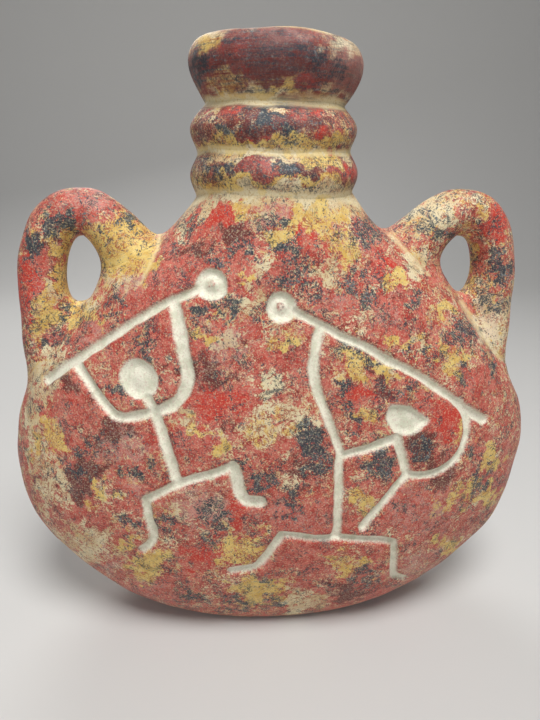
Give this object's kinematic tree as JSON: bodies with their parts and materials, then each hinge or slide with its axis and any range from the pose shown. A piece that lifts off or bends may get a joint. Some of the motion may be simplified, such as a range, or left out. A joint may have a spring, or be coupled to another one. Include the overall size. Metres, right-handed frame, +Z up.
{
  "type": "ceramic vase",
  "caption": "Flattened flask-shaped ceramic vase with a ringed neck, a flared mouth, loop handles on the shoulders and stick figures incised in its front.",
  "frame": {"origin": "middle of the underside of the base, on the surface that the vase stands on", "axes": "+Z up along the neck, +X along the wide side towards the right handle, -Y out of the incised front"},
  "size_m": [0.3334, 0.1262, 0.3574],
  "materials": {
    "cream_slip": "matte",
    "red_wash": "satin",
    "maroon_wash": "satin",
    "ochre_wash": "satin"
  },
  "bodies": {
    "root": {"base_slab": "cream_slip", "front_wall": "red_wash", "back_wall": "red_wash", "neck_tube": "cream_slip", "lower_neck_ring": "ochre_wash", "upper_neck_ring": "maroon_wash", "mouth_cup": "maroon_wash", "left_handle": "ochre_wash", "right_handle": "red_wash"}
  },
  "joints": []
}
